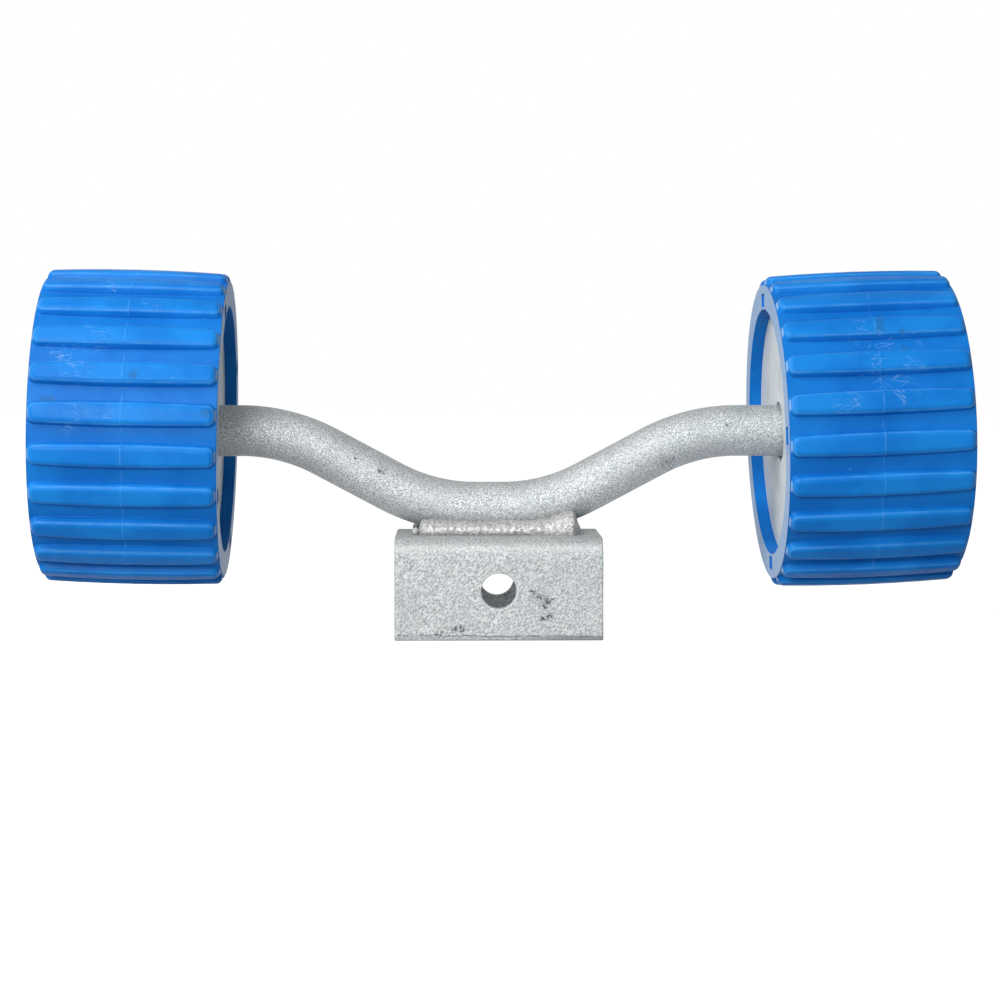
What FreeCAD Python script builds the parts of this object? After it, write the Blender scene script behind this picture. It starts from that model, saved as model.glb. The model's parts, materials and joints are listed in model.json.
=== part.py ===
import FreeCAD, Part
import os
from math import asin, cos, hypot, radians, sin, tan

# Twin wobble roller for a boat trailer: a bent round bar welded onto a folded channel bracket,
# with a ribbed roller turning on each level end of the bar.
# Millimetres. The origin is the middle of the bracket's cross hole, X runs along the rollers,
# Y along the cross hole and Z up.

# Bracket: plate folded into a channel, open side down
bracket_length = 80.0
bracket_depth = 60.0
bracket_height = 39.5
bracket_plate = 5.0
bracket_fold_inside = 4.0
pivot_hole_diameter = 13.5
pivot_hole_height = 19.0

# Bar: round, bent four times, so that both ends stand level above its flat middle
bar_diameter = 20.0
bar_bend_angle = 28.0
bar_bend_radius = 70.0
bar_rise = 30.1
bar_flat_length = 11.3
bar_middle_shift = -3.4
bar_end_chamfer = 1.5
bar_past_pin = 5.0

# Rollers: how wide, how far past the bends, and how they hang on their loose bores
roller_width = 70.0
bend_to_core = 10.0
roller_lift_left = 1.5
roller_lift_right = 0.7
roller_lean_left = 1.4
roller_lean_right = 2.1
roller_toe = 1.2

# Sleeve of each roller: soft, ribbed along its length, moulded around the core
sleeve_bore_radius = 48.0
sleeve_wall = 9.7
rib_count = 24
rib_height = 4.0
rib_tip_fall = 0.8
rib_width_middle = 9.6
rib_width_end = 8.2
rib_side_draft = 5.0
rib_end_margin = 0.3
rib_root = 2.0
rib_corner_radius = 2.6
rib_corner_cuts = 1
rib_edge_bevel = 1.2
rib_phase_left = 4.1
rib_phase_right = 3.7

# Core of each roller: rim, web on the inner side, hub and spokes
core_recess = 4.7
core_fit = 0.05
rim_wall = 4.0
web_thickness = 4.0
hub_wall = 4.8
hub_recess = 14.0
bore_land_length = 8.0
bore_land_offset = 1.1
bore_running_gap = 0.5
bore_wobble_gap = 1.0
spoke_count = 6
spoke_thickness = 4.0
spoke_drop_at_hub = 3.0
spoke_drop_at_rim = 6.0

# Washer and split pin that keep each roller on the bar
washer_ring_width = 7.9
washer_thickness = 3.0
washer_bore_gap = 0.6
washer_running_gap = 0.3
pin_diameter = 5.0
pin_hole_gap = 0.1
pin_seat_gap = 0.1
pin_slit = 0.3
pin_eye_bore = 2.2
pin_leg_past_bar = 2.0
pin_spread_angle = 35.0
pin_tail_length = 7.0

# Weld beads: one along each side of the bar, lifting with it towards their ends
weld_margin_left = 7.0
weld_margin_right = 8.0
weld_leg = 6.5
weld_bulge = 0.8
weld_root_angle = 15.0
weld_toe_angle = 70.0
weld_toe_angle_at_ends = 48.0
weld_bar_gap = 0.3
weld_stations = 7

# Worked out from the sizes above
bar_radius = bar_diameter / 2
bracket_top = bracket_height - pivot_hole_height
bar_middle_height = bracket_top + bar_radius
bar_end_height = bar_middle_height + bar_rise
bar_bend_reach = bar_bend_radius * tan(radians(bar_bend_angle / 2))
bar_low_corner = bar_flat_length / 2 + bar_bend_reach
bar_high_corner = bar_low_corner + bar_rise / tan(radians(bar_bend_angle))
bar_bend_end = bar_high_corner + bar_bend_reach + abs(bar_middle_shift)
half_width = roller_width / 2
core_half_length = half_width - core_recess
core_radius = sleeve_bore_radius - core_fit
groove_radius = sleeve_bore_radius + sleeve_wall
rib_tip_radius = groove_radius + rib_height
roller_centre = bar_bend_end + bend_to_core + core_half_length
roller_lift = max(roller_lift_left, roller_lift_right)
roller_tilt = radians(hypot(max(roller_lean_left, roller_lean_right), roller_toe))
bore_land_radius = bar_radius + bore_land_offset + bore_running_gap
bore_wide_radius = bar_radius + roller_lift + core_half_length * tan(roller_tilt) + bore_wobble_gap
hub_radius = bore_wide_radius + hub_wall
hub_outer_end = half_width - hub_recess
hub_swing = hub_radius * sin(roller_tilt)
washer_radius = bar_radius + washer_bore_gap + washer_ring_width
washer_inner_face = roller_centre + hub_outer_end + hub_swing + washer_running_gap
pin_centre = washer_inner_face + washer_thickness + pin_seat_gap + pin_diameter / 2
bar_end = pin_centre + pin_diameter / 2 + bar_past_pin
weld_left_end = weld_margin_left - bracket_length / 2
weld_right_end = bracket_length / 2 - weld_margin_right


def vector(x, y, z):
    return FreeCAD.Vector(x, y, z)


def polygon_face(points):
    """A flat face with straight sides, from points given in order."""
    return Part.Face(Part.makePolygon(points + [points[0]]))


def turned(outline):
    """A solid turned about the X axis from (distance along X, radius) points."""
    face = polygon_face([vector(x, 0, -radius) for x, radius in outline])
    return face.revolve(vector(0, 0, 0), vector(1, 0, 0), 360)


def rounded_path(corners, radius):
    """A wire through the corners, with a tangent arc of the same radius at each inner corner."""
    edges = []
    start = corners[0]
    for before, corner, after in zip(corners, corners[1:], corners[2:]):
        towards_before = (before - corner).normalize()
        towards_after = (after - corner).normalize()
        half_turn = (radians(180) - towards_before.getAngle(towards_after)) / 2
        reach = radius * tan(half_turn)
        arc_start = corner + towards_before * reach
        arc_end = corner + towards_after * reach
        inward = (towards_before + towards_after).normalize()
        arc_middle = corner + inward * (radius / cos(half_turn) - radius)
        edges.append(Part.LineSegment(start, arc_start).toShape())
        edges.append(Part.Arc(arc_start, arc_middle, arc_end).toShape())
        start = arc_end
    edges.append(Part.LineSegment(start, corners[-1]).toShape())
    return Part.Wire(edges)


def swept(path, section):
    """A solid swept along a path from a closed wire at its start."""
    return path.makePipe(Part.Face(section))


def edges_where(shape, test):
    """The edges of a shape whose centre of mass and bounding box pass a test."""
    return [edge for edge in shape.Edges if test(edge.CenterOfMass, edge.BoundBox)]


def near(value, target):
    return abs(value - target) < 0.01


# The bar
def bar_axis_corners():
    left_high = bar_middle_shift - bar_high_corner
    left_low = bar_middle_shift - bar_low_corner
    right_low = bar_middle_shift + bar_low_corner
    right_high = bar_middle_shift + bar_high_corner
    return [
        vector(-bar_end, 0, bar_end_height),
        vector(left_high, 0, bar_end_height),
        vector(left_low, 0, bar_middle_height),
        vector(right_low, 0, bar_middle_height),
        vector(right_high, 0, bar_end_height),
        vector(bar_end, 0, bar_end_height),
    ]


def plain_bar():
    corners = bar_axis_corners()
    section = Part.Wire(Part.makeCircle(bar_radius, corners[0], vector(1, 0, 0)))
    return swept(rounded_path(corners, bar_bend_radius), section)


def axle_rod():
    bar = plain_bar()
    end_edges = edges_where(bar, lambda centre, box: near(abs(centre.x), bar_end) and box.XLength < 0.01)
    bar = bar.makeChamfer(bar_end_chamfer, end_edges)
    for side in (-1, 1):
        foot = vector(side * pin_centre, 0, bar_end_height - bar_diameter)
        drill = Part.makeCylinder(pin_diameter / 2 + pin_hole_gap, 2 * bar_diameter, foot)
        bar = bar.cut(drill)
    return bar


# The bracket
def bracket():
    inside_depth = bracket_depth - 2 * bracket_plate
    inside_top = bracket_top - bracket_plate
    outer = Part.makeBox(
        bracket_length, bracket_depth, bracket_height,
        vector(-bracket_length / 2, -bracket_depth / 2, -pivot_hole_height),
    )
    inner = Part.makeBox(
        2 * bracket_length, inside_depth, bracket_height - bracket_plate,
        vector(-bracket_length, -inside_depth / 2, -pivot_hole_height),
    )
    channel = outer.cut(inner)
    outside_folds = edges_where(
        channel,
        lambda centre, box: near(abs(centre.y), bracket_depth / 2) and near(centre.z, bracket_top),
    )
    channel = channel.makeFillet(bracket_fold_inside + bracket_plate, outside_folds)
    inside_folds = edges_where(
        channel,
        lambda centre, box: near(abs(centre.y), inside_depth / 2) and near(centre.z, inside_top),
    )
    channel = channel.makeFillet(bracket_fold_inside, inside_folds)
    hole = Part.makeCylinder(
        pivot_hole_diameter / 2, 2 * bracket_depth, vector(0, -bracket_depth, 0), vector(0, 1, 0)
    )
    return channel.cut(hole)


# The weld beads
def bar_underside(x):
    """Height of the bar's underside above the bracket at x, and the slope angle of the bar there."""
    past_flat = max(0.0, abs(x - bar_middle_shift) - bar_flat_length / 2)
    under_radius = bar_bend_radius + bar_radius
    slope = asin(past_flat / under_radius)
    return under_radius * (1 - cos(slope)), slope


def weld_section(side, x):
    """One cross-section of a bead: along the plate, out over the face, and back under the bar."""
    lift, slope = bar_underside(x)
    from_middle = abs(2 * x - weld_left_end - weld_right_end) / (weld_right_end - weld_left_end)
    toe_angle = weld_toe_angle + (weld_toe_angle_at_ends - weld_toe_angle) * from_middle**3
    half_height = bar_radius / cos(slope)
    middle_height = bracket_top + lift + half_height

    def beside_bar(angle):
        across = (bar_radius + weld_bar_gap) * sin(radians(angle))
        down = (half_height + weld_bar_gap) * cos(radians(angle))
        return across, middle_height - down

    under_bar = []
    for number in range(4):
        under_bar.append(beside_bar(weld_root_angle + (toe_angle - weld_root_angle) * number / 3))
    toe_across, toe_height = under_bar[-1]
    plate_toe = toe_across + weld_leg
    face = []
    for share in (0.33, 0.67):
        face.append((
            toe_across + weld_leg * (1 - share) + weld_bulge,
            bracket_top + (toe_height - bracket_top) * share + weld_bulge / 2,
        ))
    outline = [(under_bar[0][0], bracket_top), (plate_toe, bracket_top)] + face + under_bar[::-1]
    points = [vector(x, side * across, height) for across, height in outline]
    return Part.makePolygon(points + [points[0]])


def weld_bead(side):
    step = (weld_right_end - weld_left_end) / (weld_stations - 1)
    sections = [weld_section(side, weld_left_end + number * step) for number in range(weld_stations)]
    return Part.makeLoft(sections, True, True)


# The sleeve, with its inner face towards -X
def sleeve_body():
    return turned([
        (-half_width, sleeve_bore_radius),
        (-half_width, groove_radius),
        (half_width, groove_radius),
        (half_width, sleeve_bore_radius),
    ])


def rib_outline(radius):
    """Plan outline of a rib at one radius, widest in the middle, with its corners cut round."""
    shrink = (radius - groove_radius) * tan(radians(rib_side_draft))
    half_length = half_width - rib_end_margin - shrink
    half_end = rib_width_end / 2 - shrink
    half_middle = rib_width_middle / 2 - shrink
    corner = rib_corner_radius - shrink
    quarter = [vector(0, half_middle, radius)]
    for number in range(rib_corner_cuts + 1):
        turn = radians(90 * number / rib_corner_cuts)
        quarter.append(vector(
            half_length - corner + corner * sin(turn), half_end - corner + corner * cos(turn), radius
        ))
    right_side = quarter + [vector(point.x, -point.y, radius) for point in reversed(quarter)]
    left_side = [vector(-point.x, point.y, radius) for point in reversed(right_side[1:-1])]
    return Part.makePolygon(right_side + left_side + [right_side[0]])


def rib():
    """One rib standing up along +Z, running along X, with its foot inside the sleeve."""
    foot_radius = groove_radius - rib_root
    head_radius = rib_tip_radius + rib_edge_bevel
    block = Part.makeLoft([rib_outline(foot_radius), rib_outline(head_radius)], True, True)
    end_tip = rib_tip_radius - rib_tip_fall
    above_tips = polygon_face([
        vector(-half_width, -rib_width_middle, end_tip),
        vector(0, -rib_width_middle, rib_tip_radius),
        vector(half_width, -rib_width_middle, end_tip),
        vector(half_width, -rib_width_middle, 2 * rib_tip_radius),
        vector(-half_width, -rib_width_middle, 2 * rib_tip_radius),
    ])
    block = block.cut(above_tips.extrude(vector(0, 2 * rib_width_middle, 0)))
    top_edges = edges_where(
        block,
        lambda centre, box: centre.z > end_tip - rib_edge_bevel / 2 and abs(centre.y) + abs(centre.x) > 0.1,
    )
    return block.makeChamfer(rib_edge_bevel, top_edges)


def sleeve(phase):
    body = sleeve_body()
    pattern = rib()
    ribs = []
    for number in range(rib_count):
        copy = pattern.copy()
        copy.rotate(vector(0, 0, 0), vector(1, 0, 0), 90 + phase + number * 360 / rib_count)
        ribs.append(copy)
    return body.fuse(ribs)


# The core, with its web and the narrow part of its bore on the inner side, towards -X
def core():
    inner_end = -core_half_length
    land_end = inner_end + bore_land_length
    web_back = inner_end + web_thickness
    rim_inside = core_radius - rim_wall
    body = turned([
        (inner_end, bore_land_radius),
        (inner_end, core_radius),
        (core_half_length, core_radius),
        (core_half_length, rim_inside),
        (web_back, rim_inside),
        (web_back, hub_radius),
        (hub_outer_end, hub_radius),
        (hub_outer_end, bore_wide_radius),
        (land_end, bore_wide_radius),
        (land_end, bore_land_radius),
    ])
    overlap = rim_wall / 2
    spoke_face = polygon_face([
        vector(web_back - overlap, -spoke_thickness / 2, hub_radius - overlap),
        vector(hub_outer_end - spoke_drop_at_hub, -spoke_thickness / 2, hub_radius - overlap),
        vector(core_half_length - spoke_drop_at_rim, -spoke_thickness / 2, rim_inside + overlap),
        vector(web_back - overlap, -spoke_thickness / 2, rim_inside + overlap),
    ])
    spoke = spoke_face.extrude(vector(0, spoke_thickness, 0))
    spokes = []
    for number in range(spoke_count):
        copy = spoke.copy()
        copy.rotate(vector(0, 0, 0), vector(1, 0, 0), number * 360 / spoke_count)
        spokes.append(copy)
    return body.fuse(spokes).removeSplitter()


# The washer, with its inner face at zero
def washer():
    bore = bar_radius + washer_bore_gap
    return turned([
        (0, bore),
        (0, washer_radius),
        (washer_thickness, washer_radius),
        (washer_thickness, bore),
    ])


# The split pin, with its eye seated on top of the bar and its two legs down along Z
def half_round_leg(radius, top, bottom):
    """One leg on the +Y side of the slit, flat towards it."""
    slit_half = pin_slit / 2
    round_leg = Part.makeCylinder(radius, top - bottom, vector(0, 0, bottom))
    far_half = Part.makeBox(2 * radius, radius, top - bottom, vector(-radius, slit_half, bottom))
    return round_leg.common(far_half)


def split_pin():
    radius = pin_diameter / 2
    seat = bar_radius + pin_seat_gap
    eye_radius = pin_eye_bore + radius
    eye_height = seat + eye_radius
    eye = Part.makeCylinder(eye_radius, pin_diameter, vector(-radius, 0, eye_height), vector(1, 0, 0))
    eye_bore = Part.makeCylinder(pin_eye_bore, pin_diameter, vector(-radius, 0, eye_height), vector(1, 0, 0))
    bend = -bar_radius - pin_leg_past_bar
    pin = eye.cut(eye_bore)
    for side in (-1, 1):
        leg = half_round_leg(radius, seat + radius, bend)
        tail = half_round_leg(radius, bend, bend - pin_tail_length)
        tail.rotate(vector(0, pin_slit / 2, bend), vector(1, 0, 0), pin_spread_angle)
        leg = leg.fuse(tail)
        if side < 0:
            leg = leg.mirror(vector(0, 0, 0), vector(0, 1, 0))
        pin = pin.fuse(leg)
    return pin


# Everything in its place
def place_roller_piece(shape, side, lean, lift):
    """Turn a piece that was made for the right end to its side, and hang it as the roller hangs."""
    if side < 0:
        shape.rotate(vector(0, 0, 0), vector(0, 0, 1), 180)
    shape.rotate(vector(0, 0, 0), vector(0, 1, 0), -side * lean)
    shape.rotate(vector(0, 0, 0), vector(0, 0, 1), roller_toe)
    shape.translate(vector(side * roller_centre, 0, bar_end_height + lift))
    return shape


def main():
    os.makedirs("parts", exist_ok=True)
    pieces = {
        "axle_rod": axle_rod(),
        "bracket": bracket(),
        "weld_bead_front": weld_bead(-1),
        "weld_bead_rear": weld_bead(1),
    }
    washers = []
    split_pins = []
    ends = (
        ("left", -1, rib_phase_left, roller_lean_left, roller_lift_left),
        ("right", 1, rib_phase_right, roller_lean_right, roller_lift_right),
    )
    for name, side, phase, lean, lift in ends:
        pieces[name + "_tyre"] = place_roller_piece(sleeve(phase), side, lean, lift)
        pieces[name + "_core"] = place_roller_piece(core(), side, lean, lift)
        ring = washer()
        if side < 0:
            ring.rotate(vector(0, 0, 0), vector(0, 0, 1), 180)
        ring.translate(vector(side * washer_inner_face, 0, bar_end_height))
        washers.append(ring)
        pin = split_pin()
        pin.translate(vector(side * pin_centre, 0, bar_end_height))
        split_pins.append(pin)
    pieces["washers"] = Part.makeCompound(washers)
    pieces["split_pins"] = Part.makeCompound(split_pins)
    for name, shape in pieces.items():
        shape.exportStep("parts/" + name + ".step")
        print(name, len(shape.Solids), "solids", round(shape.Volume), "cubic millimetres")


main()
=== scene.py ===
import json
import math

import bmesh
import bpy
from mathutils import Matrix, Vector


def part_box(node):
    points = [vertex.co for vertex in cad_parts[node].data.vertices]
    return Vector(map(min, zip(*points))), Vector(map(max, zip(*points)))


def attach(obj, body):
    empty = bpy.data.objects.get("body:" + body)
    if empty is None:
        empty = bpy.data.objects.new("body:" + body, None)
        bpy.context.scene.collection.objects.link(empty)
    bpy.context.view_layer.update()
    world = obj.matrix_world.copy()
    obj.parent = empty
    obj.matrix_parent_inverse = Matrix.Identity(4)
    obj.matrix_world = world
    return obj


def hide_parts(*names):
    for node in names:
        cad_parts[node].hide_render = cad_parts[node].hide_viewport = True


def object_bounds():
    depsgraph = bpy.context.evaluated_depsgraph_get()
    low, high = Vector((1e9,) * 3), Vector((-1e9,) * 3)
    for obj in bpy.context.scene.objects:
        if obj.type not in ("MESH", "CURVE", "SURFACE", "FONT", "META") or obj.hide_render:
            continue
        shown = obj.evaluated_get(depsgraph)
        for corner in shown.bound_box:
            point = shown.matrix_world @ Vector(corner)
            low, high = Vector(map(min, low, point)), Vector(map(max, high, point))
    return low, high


# Twin wobble roller for a boat trailer: a bent galvanised bar on a folded bracket, with a blue ribbed
# roller on a white core at each end. Sizes are in millimetres and mm turns them into Blender's metres.
mm = 0.001

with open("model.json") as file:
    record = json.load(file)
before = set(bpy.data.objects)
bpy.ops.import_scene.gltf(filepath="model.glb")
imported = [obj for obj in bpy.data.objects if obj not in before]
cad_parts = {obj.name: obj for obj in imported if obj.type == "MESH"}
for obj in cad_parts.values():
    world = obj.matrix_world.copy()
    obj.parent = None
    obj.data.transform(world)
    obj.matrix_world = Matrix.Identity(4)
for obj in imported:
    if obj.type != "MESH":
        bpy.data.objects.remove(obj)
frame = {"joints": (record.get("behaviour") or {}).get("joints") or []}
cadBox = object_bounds()
joints = {joint["name"]: joint for joint in frame["joints"]}
print("frame loaded")


# Camera: where the photograph was taken from
view = {
    "place": (-15.35, -961.4, 89.0),
    "tiltDegrees": 86.682,
    "turnDegrees": -0.969,
    "lens": 88.1,
    "photoSize": 1000,  # the photograph is square, this many pixels a side
}

bpy.ops.object.camera_add(
    location=[value * mm for value in view["place"]],
    rotation=(math.radians(view["tiltDegrees"]), 0, math.radians(view["turnDegrees"])),
)
camera = bpy.context.active_object
camera.name = "photoCamera"
camera.data.lens = view["lens"]
camera.data.sensor_width = 36
camera.data.clip_end = 20
bpy.context.scene.camera = camera


# Hand tools used on every piece
def editMode():
    bpy.ops.object.mode_set(mode="EDIT")


def objectMode():
    bpy.ops.object.mode_set(mode="OBJECT")


def deselect():
    bpy.ops.object.select_all(action="DESELECT")


def settle():  # puts an object's place, turn and size in its mesh
    bpy.ops.object.transform_apply(location=True, rotation=True, scale=True)


def everything():
    bpy.ops.mesh.select_all(action="SELECT")


def choose(piece, kind, test):  # in edit mode: selects only the verts, edges or faces that pass the test
    bpy.ops.mesh.select_mode(type=kind)
    bpy.ops.mesh.select_all(action="DESELECT")
    shape = bmesh.from_edit_mesh(piece.data)
    parts = {"VERT": shape.verts, "EDGE": shape.edges, "FACE": shape.faces}[kind]
    for part in parts:
        if test(part):
            part.select_set(True)
    shape.select_flush_mode()
    bmesh.update_edit_mesh(piece.data)


def openEdge(edge):  # an edge with a face on one side only
    return len(edge.link_faces) == 1


def corner(edge, degrees=40):  # an edge where two faces meet at an angle
    return len(edge.link_faces) == 2 and edge.calc_face_angle() > math.radians(degrees)


def radiusOf(vert):  # distance from the X axis, in mm
    return math.hypot(vert.co.y, vert.co.z) / mm


def rename(piece, name):
    piece.name = piece.data.name = name


def startPiece(name):  # names the primitive just added, puts its place in its mesh and opens it for editing
    piece = bpy.context.active_object
    rename(piece, name)
    settle()
    editMode()
    bpy.ops.mesh.select_mode(type="VERT")
    everything()
    return piece


def push(x=0, y=0, z=0):  # extrudes what is selected
    bpy.ops.mesh.extrude_region_move(TRANSFORM_OT_translate={"value": (x * mm, y * mm, z * mm)})


def shift(x=0, y=0, z=0):
    bpy.ops.transform.translate(value=(x * mm, y * mm, z * mm))


def stretch(x=1, y=1, z=1, about=(0, 0, 0)):
    bpy.ops.transform.resize(value=(x, y, z), center_override=[value * mm for value in about])


def cutAcross(place, normal):  # adds a loop of edges where a plane crosses the piece
    everything()
    bpy.ops.mesh.bisect(plane_co=[value * mm for value in place], plane_no=normal)


def rounding(width, segments):
    bpy.ops.mesh.bevel(offset=width * mm, segments=segments, affect="EDGES")


def select(piece):
    deselect()
    piece.select_set(True)
    bpy.context.view_layer.objects.active = piece


def applyModifier(piece, kind, **settings):
    select(piece)
    bpy.ops.object.modifier_add(type=kind)
    modifier = piece.modifiers[-1]
    for name, value in settings.items():
        setattr(modifier, name, value)
    bpy.ops.object.modifier_apply(modifier=modifier.name)


def roundEdges(piece, width, segments=3, degrees=50):  # rounds every edge that is sharper than this
    applyModifier(piece, "BEVEL", width=width * mm, segments=segments, limit_method="ANGLE",
                  angle_limit=math.radians(degrees))


def combine(piece, tool, operation):  # adds the tool to the piece or cuts it away, and uses it up
    applyModifier(piece, "BOOLEAN", operation=operation, solver="EXACT", object=tool)
    bpy.data.objects.remove(tool)


def closeUp(piece):  # merges doubles, turns every face outwards and leaves edit mode
    everything()
    bpy.ops.mesh.remove_doubles(threshold=0.002 * mm)
    bpy.ops.mesh.normals_make_consistent(inside=False)
    objectMode()


def smooth(piece, degrees=35):  # smooth shading that keeps large faces flat between their rounded edges
    select(piece)
    bpy.ops.object.shade_smooth_by_angle(angle=math.radians(degrees))
    applyModifier(piece, "WEIGHTED_NORMAL", keep_sharp=True)


def ringsAlongX(name, stations, sides, solid):  # a skin through rings given as (x, y, z, half depth, half height)
    x, y, z, depth, height = stations[0]
    deselect()
    bpy.ops.mesh.primitive_circle_add(
        vertices=sides,
        radius=mm,
        fill_type="NGON" if solid else "NOTHING",
        location=(x * mm, y * mm, z * mm),
        rotation=(0, math.pi / 2, 0),
    )
    piece = startPiece(name)
    stretch(1, depth, height, (x, y, z))
    for nextX, nextY, nextZ, nextDepth, nextHeight in stations[1:]:
        push(nextX - x, nextY - y, nextZ - z)
        stretch(1, nextDepth / depth, nextHeight / height, (nextX, nextY, nextZ))
        x, y, z, depth, height = nextX, nextY, nextZ, nextDepth, nextHeight
    if not solid:
        choose(piece, "EDGE", openEdge)
        bpy.ops.mesh.bridge_edge_loops()
    closeUp(piece)
    return piece


def turned(name, outline, sides):  # a turned ring about the X axis through (x, radius) points
    return ringsAlongX(name, [(x, 0, 0, radius, radius) for x, radius in outline], sides, False)


def joined(pieces):  # several pieces made one
    select(pieces[0])
    for piece in pieces[1:]:
        piece.select_set(True)
    bpy.ops.object.join()
    return pieces[0]


def hangOnAxle(piece, side, spinDegrees):  # from the X axis to a roller's own place, outer end outwards
    joint = joints["left_roller_spin" if side < 0 else "right_roller_spin"]
    outward = Vector(joint["axis"]) * side
    select(piece)
    piece.rotation_euler = (math.radians(spinDegrees), 0, 0)
    settle()
    piece.rotation_euler = (0, -math.asin(outward.z), math.atan2(outward.y, outward.x))
    piece.location = joint["pos_m"]
    settle()


# Tyre: ribbed sleeve of moulded rubber. One rib on its strip of sleeve is modelled flat, facing the
# camera, then repeated upwards and bent round into a ring.
tyre = {
    "width": 70.0,
    "boreRadius": 48.0,
    "grooveRadius": 57.7,
    "ribCount": 24,
    "ribHeight": 3.85,
    "ribTipFall": 0.8,  # how much lower a rib is at its ends
    "ribWidthMiddle": 9.6,
    "ribWidthEnd": 8.2,
    "ribEndMargin": 0.3,
    "ribDraft": 0.9,  # how much each side leans in on its way up
    "ribStations": (0, 11, 22),  # places where a rib gets narrower and lower, besides its end
    "ribCornerRound": 2.4,
    "ribTopRound": 1.7,
    "ribFootRound": 0.25,
    "bendLoops": (0, 1.6, 3.0, 5.8),  # edges on both sides of a rib's middle, for the bend into a ring
    "mouldStep": 0.1,  # the two mould halves are this much out of line
    "flashHeight": 0.07,
    "flashWidth": 0.5,
    "flashLoops": (0.5, 1.2),  # its foot and an edge beside it, in flash widths
    "rimRound": 0.3,
    "pocketCount": 4,  # shallow pockets in the end faces
    "pocketInner": 49.0,
    "pocketOuter": 54.2,
    "pocketHalfDegrees": 3.9,
    "pocketDepth": 1.2,
    "ribPhase": {-1: 6.25, 1: 3.7},  # degrees that the ribs are turned about the outward axis, left and right
    "pocketPhase": {-1: -27.0, 1: 0.0},
}


def ribOnStrip():
    halfWidth = tyre["width"] / 2
    halfLength = halfWidth - tyre["ribEndMargin"]
    halfRib = tyre["ribWidthMiddle"] / 2
    pitch = 2 * math.pi * tyre["grooveRadius"] / tyre["ribCount"]
    height = tyre["ribHeight"]
    deselect()
    bpy.ops.mesh.primitive_plane_add(size=mm, rotation=(math.pi / 2, 0, 0))
    strip = startPiece("tyre")
    stretch(tyre["width"], 1, pitch)
    stations = [*tyre["ribStations"], halfLength]
    for x in stations:
        for side in (-1, 1):
            cutAcross((side * x, 0, 0), (1, 0, 0))
    for side in (-1, 1):
        cutAcross((0, 0, side * halfRib), (0, 0, 1))

    def onRib(face):
        middle = face.calc_center_median()
        return abs(middle.x) < halfLength * mm and abs(middle.z) < halfRib * mm

    choose(strip, "FACE", onRib)
    push(y=-height)
    choose(strip, "VERT", lambda vert: vert.co.y < -height / 2 * mm)
    stretch(x=1 - tyre["ribDraft"] / halfLength, z=1 - tyre["ribDraft"] / halfRib)
    for x in stations[1:]:  # narrower and lower towards both ends
        fall = (x / halfLength) ** 2
        narrower = 1 - (1 - tyre["ribWidthEnd"] / tyre["ribWidthMiddle"]) * fall
        near = lambda vert: abs(abs(vert.co.x) - x * mm) < 1 * mm and abs(vert.co.z) < (halfRib + 0.01) * mm
        choose(strip, "VERT", near)
        stretch(z=narrower)
        choose(strip, "VERT", lambda vert: near(vert) and vert.co.y < -height / 2 * mm)
        shift(y=tyre["ribTipFall"] * fall)

    def upright(edge):
        one, other = edge.verts
        return abs(one.co.y - other.co.y) > height / 2 * mm and abs(abs(one.co.x) - halfLength * mm) < 1 * mm

    choose(strip, "EDGE", upright)
    rounding(tyre["ribCornerRound"], 6)
    choose(strip, "EDGE", lambda edge: corner(edge) and all(abs(vert.co.y) < 0.01 * mm for vert in edge.verts))
    rounding(tyre["ribFootRound"], 3)
    choose(strip, "EDGE", lambda edge: corner(edge) and all(vert.co.y < -height / 2 * mm for vert in edge.verts))
    rounding(tyre["ribTopRound"], 5)
    for z in tyre["bendLoops"]:
        for side in (-1, 1):
            cutAcross((0, 0, side * z), (0, 0, 1))
    for x in tyre["flashLoops"]:
        for side in (-1, 1):
            cutAcross((side * x * tyre["flashWidth"], 0, 0), (1, 0, 0))
    choose(strip, "VERT", lambda vert: abs(vert.co.x) < 0.01 * mm)
    shift(y=-tyre["flashHeight"])
    choose(strip, "VERT", lambda vert: vert.co.x > 0.1 * mm)
    shift(z=tyre["mouldStep"])
    objectMode()
    flatPlace = strip.data.attributes.new("flatPlace", "FLOAT_VECTOR", "POINT")  # kept for the material
    for vert in strip.data.vertices:
        flatPlace.data[vert.index].vector = vert.co
    return strip, pitch


def makeTyre():
    piece, pitch = ribOnStrip()
    count = tyre["ribCount"]
    groove = tyre["grooveRadius"]
    bore = tyre["boreRadius"]
    halfWidth = tyre["width"] / 2
    applyModifier(
        piece, "ARRAY", count=count, use_relative_offset=False, use_constant_offset=True,
        constant_offset_displace=(0, 0, pitch * mm), use_merge_vertices=True, merge_threshold=0.001 * mm,
    )
    editMode()
    everything()
    shift(z=-(count - 1) / 2 * pitch)
    objectMode()
    fullTurn = 2 * math.pi * (count * pitch + tyre["mouldStep"]) / (count * pitch)
    applyModifier(piece, "SIMPLE_DEFORM", deform_method="BEND", deform_axis="X", angle=fullTurn)
    editMode()
    everything()
    bpy.ops.mesh.remove_doubles(threshold=0.01 * mm)
    shift(y=-groove)
    radius = groove
    choose(piece, "EDGE", openEdge)
    for nextRadius in (tyre["pocketOuter"], tyre["pocketInner"], bore):  # the flat end faces, ring by ring
        push()
        stretch(y=nextRadius / radius, z=nextRadius / radius)
        radius = nextRadius
    choose(piece, "EDGE", openEdge)
    bpy.ops.mesh.bridge_edge_loops()
    everything()
    bpy.ops.mesh.normals_make_consistent(inside=False)
    choose(piece, "EDGE", lambda edge: corner(edge, 60) and all(radiusOf(vert) < groove + 0.1 and
           abs(abs(vert.co.x) - halfWidth * mm) < 0.1 * mm for vert in edge.verts))
    rounding(tyre["rimRound"], 4)
    objectMode()
    return piece


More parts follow.
